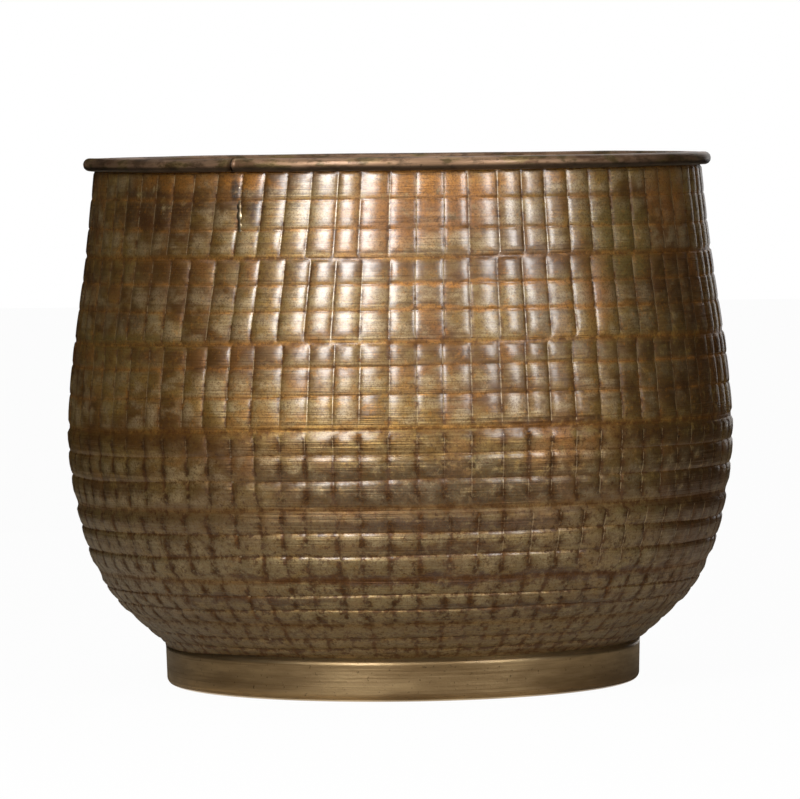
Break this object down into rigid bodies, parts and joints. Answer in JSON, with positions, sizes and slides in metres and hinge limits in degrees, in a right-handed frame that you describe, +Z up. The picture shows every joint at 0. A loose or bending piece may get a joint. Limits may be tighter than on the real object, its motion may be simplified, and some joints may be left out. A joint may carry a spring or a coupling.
{
  "type": "cachepot",
  "caption": "Round-bellied cachepot in hammered brass sheet with a rim rolled round a wire, a brazed side seam, a flat base plate and a turned-in foot ring",
  "frame": {"origin": "centre of the circle that the foot ring rests on, on the resting plane", "axes": "+Z up along the axis of the pot, -Y towards the front that the picture shows, +X to the right seen from the front"},
  "size_m": [0.332, 0.332, 0.2632],
  "materials": {
    "wall_brass": "hammered, brushed round, dark antique patina with copper-coloured stains",
    "base_brass": "turning marks, dull antique patina",
    "foot_brass": "brushed round, antique patina",
    "wire_steel": "drawn wire, dull",
    "braze_filler": "pale filler metal, filed and tarnished"
  },
  "bodies": {
    "root": {"hammered_wall": "wall_brass", "wall_seam_braze": "braze_filler", "rim_wire": "wire_steel", "base_plate": "base_brass", "base_braze_ring": "braze_filler", "foot_ring": "foot_brass", "foot_seam_braze": "braze_filler", "foot_braze_ring": "braze_filler"}
  },
  "joints": []
}
